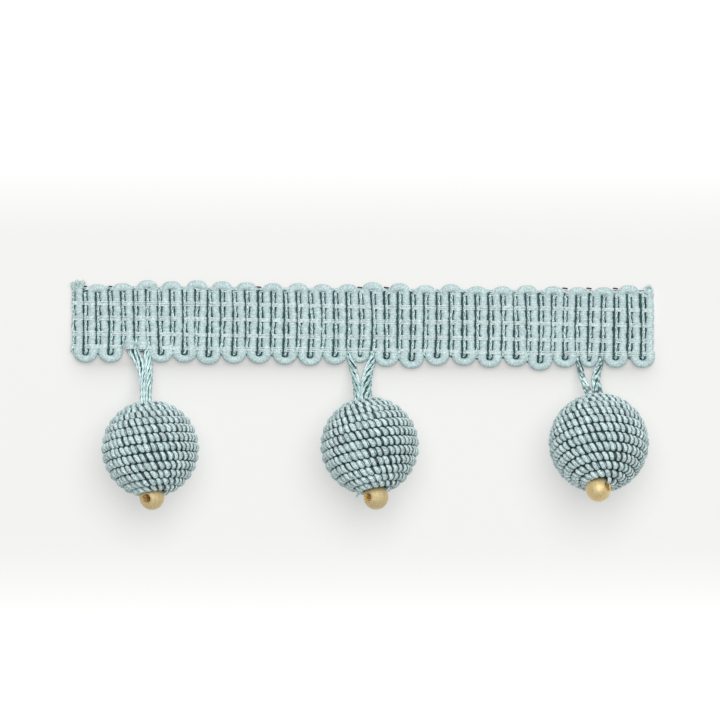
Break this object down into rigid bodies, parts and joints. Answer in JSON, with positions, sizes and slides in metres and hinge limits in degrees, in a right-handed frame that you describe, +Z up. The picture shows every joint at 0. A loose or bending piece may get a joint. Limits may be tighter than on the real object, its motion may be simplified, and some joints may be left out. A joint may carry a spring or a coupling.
{
  "type": "beaded ball fringe trim",
  "caption": "Cut length of gimp heading with cord-wound balls hung on twisted droppers, each ball tipped with a round brass bead.",
  "frame": {"origin": "middle of the trim's footprint, on the surface it lies on", "axes": "+X along the trim, +Y from the balls towards the heading, +Z up off the surface, out of the trim's face"},
  "size_m": [0.116, 0.0456, 0.0198],
  "materials": {
    "gimp_cord": "matte wrapped cord, pale aqua",
    "warp_thread": "fine light aqua thread",
    "ball_winding": "wrapped cord, grey aqua with darker gaps",
    "shiny_yarn": "lustrous twisted yarn, pale aqua",
    "brass": "brushed, satin"
  },
  "bodies": {
    "root": {"gimp_cord": "gimp_cord", "warp_1": "warp_thread", "warp_2": "warp_thread", "warp_3": "warp_thread", "warp_4": "warp_thread", "warp_5": "warp_thread", "ball_1": "ball_winding", "ball_2": "ball_winding", "ball_3": "ball_winding", "dropper_cord_1": "shiny_yarn", "dropper_cord_2": "shiny_yarn", "dropper_cord_3": "shiny_yarn", "bead_1": "brass", "bead_2": "brass", "bead_3": "brass"}
  },
  "joints": []
}
